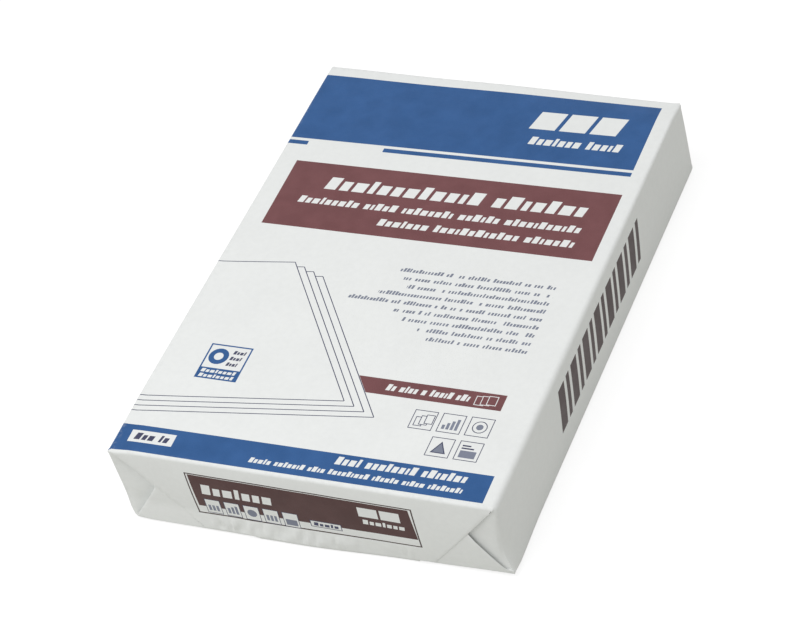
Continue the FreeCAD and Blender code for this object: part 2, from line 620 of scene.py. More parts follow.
def print_frame(panel, corners, width, ink, inside):
    """An outline round a four-cornered shape, with another finish inside it."""
    print_shape(panel, corners, ink)
    middle = [sum(c[k] for c in corners) / len(corners) for k in (0, 1)]
    inner = []
    for corner in corners:
        inner.append(tuple(corner[k] - math.copysign(width, corner[k] - middle[k]) for k in (0, 1)))
    print_shape(panel, inner, inside)


def print_line(panel, start, end, width, ink):
    """A thin straight line from one place to another."""
    start, end = Vector(start), Vector(end)
    run = (end - start).normalized()
    across = Vector((-run.y, run.x)) * width / 2
    print_shape(panel, [start - across, end - across, end + across, start + across], ink)


def print_disc(panel, middle, radius, ink, corners=20):
    turns = [math.tau * k / corners for k in range(corners)]
    rim = [(middle[0] + radius * math.cos(t), middle[1] + radius * math.sin(t)) for t in turns]
    print_shape(panel, rim, ink)


# Plain blocks that stand where lettering would be: their widths and which are tall, in turn,
# the space after a block and after a word, and how much higher a tall block is
BLOCK_WIDTHS = (0.78, 0.62, 0.84, 0.4, 0.7, 0.62, 0.8, 0.56, 0.74, 0.66, 0.36)
TALL_BLOCKS = (1, 0, 0, 1, 0, 0, 0, 1, 0, 0, 0, 1, 0)
BLOCK_SPARE = 0.24
WORD_SPARE = 0.6
TALLER = 1.32


def block_places(words, left, right):
    """Left and right edges of the blocks of a row of words that fills a width."""
    places = []
    x = 0
    for word in words:
        for _ in range(word):
            width = BLOCK_WIDTHS[len(places) % len(BLOCK_WIDTHS)]
            places.append((x, x + width))
            x += width + BLOCK_SPARE
        x += WORD_SPARE
    scale = (right - left) / places[-1][1]
    return [(left + a * scale, left + b * scale) for a, b in places]


def print_words(panel, left, right, foot, height, words, ink=PAPER, lean=0.2):
    """A row of plain blocks, some of them taller, cut as one strip.

    words says how many blocks each word has."""
    tall = height * TALLER
    strip = box(left, foot, right, foot + tall, lean)
    overlaps = face_picker(panel, strip)
    for start, end in edges_of(strip) + [((left, foot + height), (right, foot + height))]:
        cut_panel(panel, start, end, overlaps)
    places = block_places(words, left, right)
    for start, end in places:
        block = box(start, foot, end, foot + tall, lean)
        overlaps = face_picker(panel, block)
        cut_panel(panel, block[1], block[2], overlaps)
        cut_panel(panel, block[3], block[0], overlaps)
    for count, (start, end) in enumerate(places):
        head = tall if TALL_BLOCKS[count % len(TALL_BLOCKS)] else height
        ink_faces(panel, box(start, foot, end, foot + head, lean), ink)


def bleed(size, foot, head, ink):
    """Carry a band of the top panel on over the left fold."""
    side = size.top_radius - size.half_width - TINY
    low = size.top - size.top_radius

    def on_fold(face):
        centre = centre_of(face)
        return centre.x < side and centre.z > low and abs(centre.y) < size.tuck_face

    for y in (foot, head):
        cut(Y_AXIS * y * MM, Y_AXIS, on_fold)
    for face in edited()[1].faces:
        if on_fold(face) and foot < centre_of(face).y / MM < head:
            face.material_index = ink


# Top panel. Boxes are given by their left, foot, right and head.
PRINT_RIGHT = 96.6
FOLD_LEFT = -102.4
# How far a turned band starts beyond the fold, so that none of the fold stays bare
SPARE = 0.4
# Bands and rule: foot and head from a middle line, and that line's height and turn
HEAD_TURN = math.radians(0.35)
HEAD_MIDDLE = 116.0
HEAD_BAND = (-25.7, 26.2)
RULE = (-30.8, -27.7)
RULE_GAP = (-93, -47.3)
FOOT_TURN = math.radians(0.4)
FOOT_MIDDLE = -137.0
FOOT_BAND = (-10.4, 7.2)
FOOT_RIGHT = 97.8
NUMBER_BOX = (-98.0, -4.1, -73.8, 3.8)
FIELD = (-93.4, 21.1, 97.0, 71.65)
# Rows of words on the field: left, right, foot, height and the words
FIELD_ROWS = (
    (-69, 81, 52.0, 7.2, (12, 7)), (-80, 83, 40.0, 3.9, (9, 5, 8, 6, 11)),
    (-28.4, 83, 29.0, 3.9, (7, 12, 7)),
)
SIZE_BAR = ((12.5, -87.9), (85.8, -87.9), (85.8, -77.3), (4.8, -77.3))
BADGE = (-82.6, -93.7, -58.5, -69.3)
BADGE_FOOT = -86.0
BADGE_DISC = (-75.2, -77.7)
ICON = 12.6
ICON_LINE = 0.45
ICON_PLACES = ((42.8, -106.8), (57.9, -106.6), (73.0, -106.4), (57.8, -122.6), (73.0, -122.5))
# Small print: head of the first row, row height, right end and the rows' left ends
FINE_TOP = 2.0
FINE_PITCH = 5.75
FINE_RIGHT = 85.5
FINE_LEFTS = (-2, 2, 6, -8, -23, 5, 12, 23, 30)
# Its blocks: width of a block's cell, lean, shift from row to row, widths as shares of the
# cell, foot, head and a tall block's extra as shares of the row, and how many are tall or bare
FINE_CELL = 1.75
FINE_LEAN = 0.2
FINE_SHIFT = 7.31
FINE_WIDTHS = (0.5, 0.8)
FINE_FOOT = 0.26
FINE_HEAD = 0.6
FINE_TALLER = 0.14
FINE_TALL_SHARE = 0.28
FINE_BARE_SHARE = 0.14

# The drawing of sheets that lie one behind the other: the right head corner of the first, the
# step to the next, the lean of the right edges, the tilt of the others and the edges' length
SHEET_COUNT = 4
SHEET_CORNER = Vector((-62, -5))
SHEET_STEP = Vector((6.5, -2.6))
SHEET_LEAN = math.radians(36)
SHEET_TILT = math.radians(8)
SHEET_DEPTH = 112
DRAWN_WIDTH = 0.5


def print_sheets(panel, size):
    """Outlined sheets, one behind the other, that run out over the left fold."""
    down = Vector((math.sin(SHEET_LEAN), -math.cos(SHEET_LEAN)))
    left = Vector((-math.cos(SHEET_TILT), -math.sin(SHEET_TILT)))
    beside = Vector((-down.y, down.x))
    in_sight = -SHEET_STEP.dot(beside) / left.dot(beside)
    for k in range(SHEET_COUNT):
        corner = SHEET_CORNER + SHEET_STEP * k
        foot = corner + down * SHEET_DEPTH
        head_end = corner + left * in_sight if k else corner + left * (FOLD_LEFT - corner.x) / left.x
        foot_end = foot + left * (FOLD_LEFT - foot.x) / left.x
        print_line(panel, corner, head_end, DRAWN_WIDTH, LINE)
        print_line(panel, corner, foot, DRAWN_WIDTH, LINE)
        print_line(panel, foot, foot_end, DRAWN_WIDTH, LINE)
        for place in (foot_end,) if k else (head_end, foot_end):
            bleed(size, place.y - DRAWN_WIDTH / 2, place.y + DRAWN_WIDTH / 2, LINE)


def print_icon(panel, left, foot, motif):
    """A small outlined box with a plain motif: sheets, bars, a ring, a triangle or a tray."""
    print_frame(panel, box(left, foot, left + ICON, foot + ICON), ICON_LINE, LINE, PAPER)
    if motif == 0:
        for k in range(3):
            x = left + 2.0 + 2.6 * k
            print_frame(panel, box(x, foot + 2.0 + k, x + 4.6, foot + 8.2 + k), ICON_LINE, LINE, PAPER)
    elif motif == 1:
        for k in range(4):
            x = left + 2.0 + 2.3 * k
            print_box(panel, x, foot + 2.2, x + 1.6, foot + 5.0 + 1.5 * k, GREY)
    elif motif == 2:
        middle = (left + ICON / 2, foot + ICON / 2)
        for radius, ink, corners in ((4.0, LINE, 16), (3.5, PAPER, 16), (1.9, GREY, 12)):
            print_disc(panel, middle, radius, ink, corners)
    elif motif == 3:
        outer = ((2.2, 2.4), (10.4, 2.4), (6.3, 10.2))
        inner = ((3.2, 3.0), (9.4, 3.0), (6.3, 9.0))
        for corners, ink in ((outer, LINE), (inner, GREY)):
            print_shape(panel, [(left + x, foot + y) for x, y in corners], ink)
    else:
        print_box(panel, left + 2.0, foot + 1.8, left + 10.6, foot + 6.4, GREY)
        for k in range(2):
            low = foot + 1.7 * k
            print_box(panel, left + 2.0, low + 7.4, left + 8.6 - 2 * k, low + 8.3, LINE)


def turned(panel, middle, angle):
    """The top panel, taken from a middle line that is turned a little."""
    turn = Matrix.Rotation(angle, 3, "Z")
    return PrintPanel(from_panel(panel, (0, middle)), turn @ X_AXIS, turn @ Y_AXIS, Z_AXIS)


def print_bands(panel, size):
    """Blue bands that run out over the left fold, with plain pale shapes on them."""
    head = turned(panel, HEAD_MIDDLE, HEAD_TURN)
    print_box(head, FOLD_LEFT - SPARE, HEAD_BAND[0], PRINT_RIGHT, HEAD_BAND[1], BLUE)
    for left in (28.5, 46.0, 63.5):
        print_box(head, left, -1.0, left + 15, 13.0, PAPER, 0.25)
    print_words(head, 32, 84, -13.2, 4.6, (7, 5))
    print_box(head, FOLD_LEFT - SPARE, RULE[0], RULE_GAP[0], RULE[1], BLUE)
    print_box(head, RULE_GAP[1], RULE[0], PRINT_RIGHT, RULE[1], BLUE)
    low = turned(panel, FOOT_MIDDLE, FOOT_TURN)
    print_box(low, FOLD_LEFT - SPARE, FOOT_BAND[0], FOOT_RIGHT, FOOT_BAND[1], BLUE)
    print_box(low, *NUMBER_BOX, PAPER)
    print_words(low, -95.6, -77.2, -2.3, 3.4, (3, 2), LINE)
    print_words(low, 15, 84.5, 0.3, 3.9, (4, 8, 7))
    print_words(low, -29.5, 85, -6.4, 2.5, (5, 7, 4, 9, 6, 5, 8))
    for (foot, head), middle, angle in (
            (HEAD_BAND, HEAD_MIDDLE, HEAD_TURN), (RULE, HEAD_MIDDLE, HEAD_TURN),
            (FOOT_BAND, FOOT_MIDDLE, FOOT_TURN)):
        at_fold = middle + FOLD_LEFT * math.sin(angle)
        bleed(size, at_fold + foot, at_fold + head, BLUE)


def print_size_bar(panel):
    """The slim field under the small print, from the hindmost sheet's edge to the right."""
    print_shape(panel, SIZE_BAR, MAROON)
    print_words(panel, 22, 67, -84.6, 3.3, (2, 4, 1, 5, 3))
    for k in range(3):
        x = 70.5 + 3.2 * k
        print_frame(panel, box(x, -86.2 + 0.5 * k, x + 5.2, -80.0 + 0.5 * k), 0.4, PAPER, MAROON)


def print_badge(panel):
    """A framed badge with a ring and short rows of words."""
    print_frame(panel, box(*BADGE), 0.9, BLUE, PAPER)
    print_box(panel, BADGE[0], BADGE[1], BADGE[2], BADGE_FOOT, BLUE)
    print_disc(panel, BADGE_DISC, 5.6, BLUE)
    print_disc(panel, BADGE_DISC, 2.6, PAPER)
    for k in range(3):
        print_words(panel, -68.2 - 0.4 * k, -61.4 - 0.8 * k, -75.0 - 4.2 * k, 1.9, (4,), LINE)
    for k in range(2):
        print_words(panel, -80.8, -61.2, -89.3 - 3.4 * k, 1.8, (8,))


class REAM_OT_top_print(bpy.types.Operator):
    """Lay the colour fields and simple shapes of the top panel"""

    bl_idname = "ream.top_print"
    bl_label = "Top Print"

    def execute(self, context):
        size = context.scene.ream_sizes
        panel = PrintPanel(Z_AXIS * size.top, X_AXIS, Y_AXIS, Z_AXIS)
        start_edit(wrapper())
        print_sheets(panel, size)
        print_bands(panel, size)
        print_box(panel, *FIELD, MAROON)
        for row in FIELD_ROWS:
            print_words(panel, *row)
        for row, left in enumerate(FINE_LEFTS):
            head = FINE_TOP - FINE_PITCH * row
            print_box(panel, left, head - FINE_PITCH, FINE_RIGHT, head, SMALL)
        print_badge(panel)
        print_size_bar(panel)
        for motif, place in enumerate(ICON_PLACES):
            print_icon(panel, *place, motif)
        end_edit()
        return {"FINISHED"}


# Label on the front end, in millimetres from its own origin
LABEL_PLACE = (-3.0 * MM, 26.2 * MM)
LABEL_TILT = math.radians(0.8)
LABEL_OUTLINE = [(-61.1, -13.9), (63.3, -11.3), (62.4, 16.3), (-62.3, 15.8)]
LABEL_FIELD = [(-59.4, -8.1), (62.2, -5.7), (60.3, 15.1), (-60.7, 14.7)]
LABEL_NUMBER = (3.3, -9.2, 20.6, -4.4)
LABEL_LEAN = 0.1


def print_label_box(panel, left, foot, motif):
    """A small pale box on the label with a plain grey motif: a block, a disc or bars."""
    print_frame(panel, box(left, foot, left + 8.8, foot + 10.6), 0.35, LINE, PAPER)
    if motif == 4:
        print_box(panel, left + 1.2, foot + 1.2, left + 7.6, foot + 5.6, GREY)
    elif motif == 2:
        print_disc(panel, (left + 4.4, foot + 5.3), 2.7, GREY, 12)
    else:
        for k in range(3):
            x = left + 1.4 + 2.2 * k
            print_box(panel, x, foot + 2.0, x + 1.5, foot + 6.2 + (k if motif == 1 else 0), GREY)


class REAM_OT_end_label(bpy.types.Operator):
    """Lay the label on the front end"""

    bl_idname = "ream.end_label"
    bl_label = "End Label"

    def execute(self, context):
        size = context.scene.ream_sizes
        tilt = Matrix.Rotation(LABEL_TILT, 3, "Y")
        face = size.tuck_face + 2 * size.layer
        origin = Vector((LABEL_PLACE[0], -face, LABEL_PLACE[1]))
        panel = PrintPanel(origin, tilt @ X_AXIS, tilt @ Z_AXIS, -Y_AXIS)
        start_edit(wrapper())
        print_frame(panel, LABEL_OUTLINE, 0.75, DARK, PAPER)
        # The label's field is the maroon ink, darkened with painted shade
        print_shape(panel, LABEL_FIELD, MAROON_PAINTED_SHADE)
        print_words(panel, -55.2, -16.2, 1.6, 5.4, (7,), PAPER, LABEL_LEAN)
        for left in (32.3, 44.2):
            print_box(panel, left, 4.9, left + 10.6, 11.5, PAPER)
        print_words(panel, 33.6, 56, -0.4, 2.5, (7,), PAPER, LABEL_LEAN)
        for k in range(5):
            print_label_box(panel, -55.4 + 10.9 * k, -12.6, k)
        print_frame(panel, box(*LABEL_NUMBER), ICON_LINE, LINE, PAPER)
        print_words(panel, 5.2, 18.6, -8.1, 1.9, (5,), LINE, LABEL_LEAN)
        end_edit()
        return {"FINISHED"}


# Pairs of stripes on the right side panel
STRIPE_PAIRS = 7
STRIPE_START = -67.8
STRIPE_PITCH = 18.7
STRIPE_FOOT = 17
STRIPE_HEAD = 41.5
STRIPE_LEAN = 0.22
# Left and right edge of a wide and of a slim stripe
STRIPE_EDGES = ((0, 8.4), (11.4, 15.6))


class REAM_OT_side_stripes(bpy.types.Operator):
    """Lay the slanted stripes on the right side panel"""

    bl_idname = "ream.side_stripes"
    bl_label = "Side Stripes"

    def execute(self, context):
        size = context.scene.ream_sizes
        panel = PrintPanel(X_AXIS * size.half_width, Y_AXIS, Z_AXIS, X_AXIS)
        start_edit(wrapper())
        for k in range(STRIPE_PAIRS):
            start = STRIPE_START + STRIPE_PITCH * k
            for left, right in STRIPE_EDGES:
                print_box(
                    panel, start + left, STRIPE_FOOT, start + right, STRIPE_HEAD, DARK, STRIPE_LEAN)
        end_edit()
        return {"FINISHED"}


# Folds, bulges and dents. Pairs of numbers are the limits of a soft step, in millimetres.

# How far inside the side panels their bulge reaches
SIDE_REACH = (3, 6)
# Where the seam pushes the end flaps out: from and to which place across, up to which height
SEAM_FROM, SEAM_TO, SEAM_HEAD = (-46, -33), (56, 70), (4, 30)

# Where the paper's corners stand away from the crisp block: the side, end and level of the
# corner, how far it moves and how far along each axis that reaches, in millimetres
CORNER_PULLS = (
    ((-1, -1, 1), (-1.8, 0, 0), (16, 290, 76)),
    ((-1, -1, 1), (0, 0, -0.8), (14, 50, 48)),
    ((-1, -1, 1), (0, -0.4, 0), (12, 6, 24)),
    ((-1, 1, 1), (0.2, 1.5, 0), (80, 30, 20)),
    ((1, 1, 1), (0, -0.9, -1.6), (120, 16, 14)),
    ((1, -1, -1), (0, 0, 1.6), (48, 9, 7)),
    ((1, -1, -1), (1.1, 0, 0), (6, 45, 18)),
)

# Depth of the soft crease along the upright folds, by side and end, and where it lies
CREASES = {(1, -1): 2.0 * MM, (-1, -1): 0, (1, 1): 0, (-1, 1): 0.6 * MM}
CREASE_FOOT, CREASE_HEAD, CREASE_WIDTH = (2, 14), (16, 44), (0.5, 6.5)
# Depth of the dish in the side tucks, by side and end, and where it lies
DISHES = {(1, -1): 0.25 * MM, (-1, -1): 0, (1, 1): 0.2 * MM, (-1, 1): 0.4 * MM}
DISH_EDGE, DISH_FOOT, DISH_HEAD = (1, 12), (4, 22), (32, 46)

# How far the foot of the front end stands out and up to which height, and where that fades
# to the right, at the left corner and inside the end
FOOT_FLARE = 2.2 * MM
FLARE_HEAD = 13 * MM
FLARE_RIGHT, FLARE_LEFT, FLARE_BEHIND = (-12, 56), (96, 106), (0, 12)

# How crisp the upright corners are, by side and end, and between which heights that fades
ALL_HEIGHTS = (1000, 2000)
CORNER_CRISPNESS = {(1, -1): (0.9, (6, 20)), (-1, -1): (0.9, ALL_HEIGHTS), (1, 1): (0.35, ALL_HEIGHTS)}
FOLD_CRISPNESS = 0.5
# Where the right fold's crispness grows along the pack
CRISP_BEHIND = (-80, 140)

# How far the free edges of the bottom flaps stand away, and where: from the edge, up the
# flap and away from the top flap
LIP_LIFT = 0.6 * MM
LIP_REACH, LIP_FOOT, LIP_HEAD = (0, 6), (1, 9), (0, 4)

# Glued places under the label: strength and left and right limits of each, the foot and head
# of all, and the height, width and length of their puckers
GLUE_SPOTS = ((1.0, (-66, -50), (16, 30)), (0.6, (34, 40), (50, 58)))
GLUE_FOOT, GLUE_TOP = (1.5, 5), (9, 14)
PUCKER, PUCKER_WIDTH, PUCKER_LENGTH = 1.7, 2.6, 9
# Depth of the paper's waves on the top, the sides and the ends, in millimetres
WAVES = (0.12, 0.3, 0.22)


def step(value, low, high):
    """0 below low, 1 above high and a soft step between, with both in millimetres."""
    return smooth(value / MM, low, high)


def fade(value, low, high):
    return 1 - step(value, low, high)


def place_of(size, point):
    """Side, end, distance inside the side and end panels, and height over the lowest fold."""
    side = 1 if point.x > 0 else -1
    end = 1 if point.y > 0 else -1
    inside = size.half_width - abs(point.x)
    behind = max(size.tuck_face - abs(point.y), 0)
    return side, end, inside, behind, point.z - size.lap_rise


def bulge(size, point):
    """How the air and the seam inside push the panels out."""
    side, end, inside, _, height = place_of(size, point)
    half = (size.top - size.lap_rise) / 2
    rise = max(1 - ((height - half) / (half - size.end_radius)) ** 2, 0)
    level = abs(point.y) - size.tuck_face
    move = Vector()
    if level > -TINY:
        move.y += end * rise * (size.tuck_belly if level < TINY else size.flap_belly)
        if level > size.layer + TINY:
            pushed = step(point.x, *SEAM_FROM) * fade(point.x, *SEAM_TO) * fade(point.z, *SEAM_HEAD)
            move.y += end * size.lap_step * pushed
    run = max(1 - (point.y / size.tuck_face) ** 2, 0)
    move.x += side * size.side_belly * fade(inside, *SIDE_REACH) * min(rise, 4 * run)
    lift = seam_lift(size, point.x)
    if lift > 0 and level < size.layer + TINY and point.z < size.flap_foot * 1.01:
        turn = min(max(height / size.end_radius, 0), 1) * math.pi / 2
        move.z -= size.lap_rise * lift * math.cos(turn)
        move.y += end * size.lap_step * lift * math.sin(turn)
    return move


def corners_pull(size, point):
    """How the corners flare and droop."""
    move = Vector()
    for (side, end, level), offset, reach in CORNER_PULLS:
        across = abs(side * size.half_width - point.x)
        along = max(size.tuck_face - end * point.y, 0)
        upright = abs((size.top if level > 0 else size.lap_rise) - point.z)
        share = fade(across, 0, reach[0]) * fade(along, 0, reach[1])
        move += Vector(offset) * MM * share * max(1 - upright / (reach[2] * MM), 0)
    return move


def tuck_sinks(size, point):
    """How the side tucks and the upright folds crease, and how the front end's foot flares."""
    side, end, inside, behind, height = place_of(size, point)
    move = Vector()
    pull = CREASES[side, end] * step(height, *CREASE_FOOT) * fade(height, *CREASE_HEAD)
    pull *= fade(math.hypot(inside, behind), *CREASE_WIDTH)
    move.x -= side * pull
    move.y -= end * pull * 0.4
    if abs(point.y) < size.tuck_face + TINY:
        dish = step(inside, *DISH_EDGE) * step(height, *DISH_FOOT) * fade(height, *DISH_HEAD)
        move.y -= end * DISHES[side, end] * dish * fade(behind, 0, 2)
        if (side, end) == (-1, -1):
            move.y += min(beyond_crease(size, point) * TUCK_SLOPE, TUCK_DEPTH) * fade(behind, 0, 1)
    if end < 0:
        flare = fade(point.x, *FLARE_RIGHT) * (1 - 0.4 * step(-point.x, *FLARE_LEFT))
        flare *= fade(behind, *FLARE_BEHIND) * max(1 - max(height - 1 * MM, 0) / FLARE_HEAD, 0)
        move.y -= FOOT_FLARE * flare
    return move


def folds_sharpen(size, point):
    """How crisp the upright corners and the long folds of the top panel are."""
    side, end, inside, _, height = place_of(size, point)
    move = Vector()
    crisp, fades = CORNER_CRISPNESS.get((side, end), (0, ALL_HEIGHTS))
    out_x = size.corner_radius - inside
    out_y = size.corner_radius - (size.tuck_face - abs(point.y))
    if out_x > 0 and out_y > 0:
        beyond = (math.hypot(out_x, out_y) / max(out_x, out_y) - 1) * crisp * fade(height, *fades)
        if side < 0:
            beyond *= step(height, 0, 9)
        move.x += side * out_x * beyond
        move.y += end * out_y * beyond
    under = size.top - point.z
    if inside < size.top_radius + TINY and under < size.top_radius + TINY:
        crisp = FOLD_CRISPNESS * (step(point.y, *CRISP_BEHIND) if side > 0 else 1)
        move.x += side * inside * crisp
        move.z += under * crisp
    return move


def lip(size, point):
    """How the free edge of a bottom flap stands away from the tuck under it."""
    level = abs(point.y) - size.tuck_face
    which = int(point.x > 0)
    front_left = point.x <= 0 and point.y <= 0
    if front_left or level < GAP + TINY or point.z > crossing(size, SIDES[which]):
        return Vector()
    corner, normal = slants(size, 1)[which]
    top_corner, top_normal = slants(size, -1)[which]
    under = (corner - point).xz.dot(normal.xz)
    covered = (point - top_corner).xz.dot(top_normal.xz)
    share = fade(under, *LIP_REACH) * step(point.z, *LIP_FOOT) * step(covered, *LIP_HEAD)
    return Vector((0, math.copysign(LIP_LIFT * share, point.y), 0))


def dents(size, point):
    """Waves and small dents of the paper, and the glued places under the label."""
    place = point / MM
    wave = noise.noise(place / 37) * 0.6 + noise.noise(place / 15 + Vector((7, 3, 1))) * 0.25
    edge = min(size.top - point.z, point.z - size.lap_rise)
    side, end = place_of(size, point)[:2]
    on_end = abs(point.y) > size.tuck_face - TINY
    if point.z > size.top - TINY:
        return Vector((0, 0, min(wave, 0) * WAVES[0] * MM))
    if abs(point.x) > size.half_width - 1 * MM and not on_end:
        return Vector((side * wave * WAVES[1] * step(edge, 2, 12) * MM, 0, 0))
    if abs(point.y) > size.tuck_face + GAP + ROUND:
        out = wave * WAVES[2] * step(edge, 2, 9)
        pucker = noise.noise(Vector((place.x / PUCKER_WIDTH, 3.4, place.z / PUCKER_LENGTH))) * PUCKER
        pucker *= step(point.z, *GLUE_FOOT) * fade(point.z, *GLUE_TOP)
        for share, left, right in GLUE_SPOTS:
            out += pucker * share * step(point.x, *left) * fade(point.x, *right)
        return Vector((0, end * out * MM, 0))
    return Vector()


def settle(size, point):
    """Where a point of the crisp wrapper comes to lie once the paper has settled."""
    causes = (bulge, corners_pull, tuck_sinks, folds_sharpen, lip, dents)
    return sum((cause(size, point) for cause in causes), point)


class REAM_OT_settle(bpy.types.Operator):
    """Let the panels bulge, the seam stand out and the paper crease"""

    bl_idname = "ream.settle"
    bl_label = "Settle the Paper"

    def execute(self, context):
        size = context.scene.ream_sizes
        piece = wrapper()
        for vert in piece.data.vertices:
            vert.co = settle(size, vert.co)
        start_edit(piece)
        pick()
        bpy.ops.mesh.dissolve_degenerate(threshold=TINY / 2)
        end_edit()
        bpy.ops.object.shade_smooth_by_angle(angle=math.radians(35))
        return {"FINISHED"}


# Finishes

# Distance from a fold at which the paper is rubbed most and not at all
RUB_REACH = (0.4 * MM, 2.2 * MM)
# How much ink the rub takes off and how much roughness it adds
RUBBED = 0.12
CLOUDS = (0.35, 0.65)
PAPER_ROUGHNESS = 0.55
INK_ROUGHNESS = 0.45
GLOSS = 0.22


def set_inputs(tree, node, values):
    """Set a node's inputs to fixed values or link other nodes' outputs to them."""
    for title, value in values.items():
        if isinstance(value, bpy.types.NodeSocket):
            tree.links.new(value, node.inputs[title])
        else:
            node.inputs[title].default_value = value
    return node


def add_node(tree, kind, values, **settings):
    node = tree.nodes.new(kind)
    for name, value in settings.items():
        setattr(node, name, value)
    return set_inputs(tree, node, values)


def work_out(tree, operation, *values):
    """A math node of sockets, numbers and further sums, which are tuples with their operation first."""
    values = [work_out(tree, *value) if isinstance(value, tuple) else value for value in values]
    return add_node(tree, "ShaderNodeMath", dict(enumerate(values)), operation=operation).outputs[0]


def spread(tree, value, low, high, to_low=0, to_high=1):
    """Map a range of values onto another one."""
    return add_node(tree, "ShaderNodeMapRange", {
        "Value": value, "From Min": low, "From Max": high, "To Min": to_low, "To Max": to_high,
    }).outputs["Result"]


def add_noise(tree, place, scale, detail):
    return add_node(tree, "ShaderNodeTexNoise", {
        "Vector": place, "Scale": scale, "Detail": detail}).outputs["Fac"]


def split(tree, place):
    node = add_node(tree, "ShaderNodeSeparateXYZ", {0: place})
    return node.outputs["X"], node.outputs["Y"], node.outputs["Z"]


def add_group(build):
    """A node group that takes a place and gives the values that build works out from it."""
    tree = bpy.data.node_groups.new(build.__name__, "ShaderNodeTree")
    tree.interface.new_socket(name="Place", in_out="INPUT", socket_type="NodeSocketVector")
    results = build(tree, tree.nodes.new("NodeGroupInput").outputs["Place"])
    for title in results:
        tree.interface.new_socket(name=title, in_out="OUTPUT", socket_type="NodeSocketFloat")
    add_node(tree, "NodeGroupOutput", results)
    return tree


def paper_grain(tree, place):
    """Cloudy tone and fine relief of the wrapping paper."""
    clouds = ("ADD", add_noise(tree, place, 34, 3), add_noise(tree, place, 320, 2))
    fibre = ("MULTIPLY", add_noise(tree, place, 1700, 4), 0.1)
    wave = ("MULTIPLY", add_noise(tree, place, 60, 2), 0.9)
    tone = work_out(tree, "MULTIPLY", clouds, 0.5)
    return {"Cloud": tone, "Relief": work_out(tree, "ADD", fibre, wave)}


def fold_rub(tree, place):
    """Where the paper is rubbed along its folds, in broken patches."""
    size = bpy.context.scene.ream_sizes
    x, y, z = split(tree, place)
    across = work_out(tree, "SUBTRACT", size.half_width, ("ABSOLUTE", x))
    along = work_out(tree, "SUBTRACT", size.tuck_face, ("ABSOLUTE", y))
    under = work_out(tree, "SUBTRACT", size.top, z)
    top_fold, end_fold, upright = [
        ("SQRT", ("ADD", ("POWER", ("ABSOLUTE", one), 2), ("POWER", ("ABSOLUTE", other), 2)))
        for one, other in ((across, under), (along, under), (across, along))]
    nearest = work_out(tree, "MINIMUM", ("MINIMUM", top_fold, end_fold), upright)
    rubbed = spread(tree, nearest, *RUB_REACH, 1, 0)
    patches = spread(tree, add_noise(tree, place, 420, 3), 0.48, 0.66)
    return {"Rub": work_out(tree, "MULTIPLY", rubbed, patches)}


def ink_lay(tree, place):
    """Small unevenness of printed ink."""
    coarse = ("MULTIPLY", add_noise(tree, place, 90, 2), 0.6)
    speckle = ("MULTIPLY", add_noise(tree, place, 2200, 2), 0.4)
    return {"Density": work_out(tree, "ADD", coarse, speckle)}


def small_blocks(tree, place):
    """Rows of small plain blocks in place of small print: 1 on a block and 0 beside it."""
    x, y, _ = split(tree, place)
    level = work_out(tree, "DIVIDE", ("SUBTRACT", FINE_TOP * MM, y), FINE_PITCH * MM)
    row = work_out(tree, "FLOOR", level)
    height = work_out(tree, "SUBTRACT", 1, ("FRACT", level))
    leaning = ("SUBTRACT", x, ("MULTIPLY", y, FINE_LEAN))
    shifted = work_out(tree, "ADD", ("DIVIDE", leaning, FINE_CELL * MM), ("MULTIPLY", row, FINE_SHIFT))
    cell = add_node(tree, "ShaderNodeCombineXYZ", {"X": work_out(tree, "FLOOR", shifted), "Y": row})
    random = add_node(
        tree, "ShaderNodeTexWhiteNoise", {"Vector": cell.outputs[0]}, noise_dimensions="2D")
    first, second, third = split(tree, random.outputs["Color"])
    wide = ("LESS_THAN", ("FRACT", shifted), spread(tree, first, 0, 1, *FINE_WIDTHS))
    above = ("GREATER_THAN", height, FINE_FOOT)
    tall = ("MULTIPLY", ("GREATER_THAN", third, 1 - FINE_TALL_SHARE), FINE_TALLER)
    below = ("LESS_THAN", height, ("ADD", tall, FINE_HEAD))
    inked = ("GREATER_THAN", second, FINE_BARE_SHARE)
    mask = work_out(tree, "MULTIPLY", ("MULTIPLY", wide, above), ("MULTIPLY", below, inked))
    return {"Mask": mask}


def mixed(tree, share, first, second):
    """A colour mixed from two, each a socket or a fixed colour."""
    ends = {"Factor": share, "A": first, "B": second}
    return add_node(tree, "ShaderNodeMix", ends, data_type="RGBA").outputs["Result"]


def shade(colour, factor, more=0.0):
    """A colour made lighter or darker."""
    return (*[channel * factor + more for channel in colour], 1)


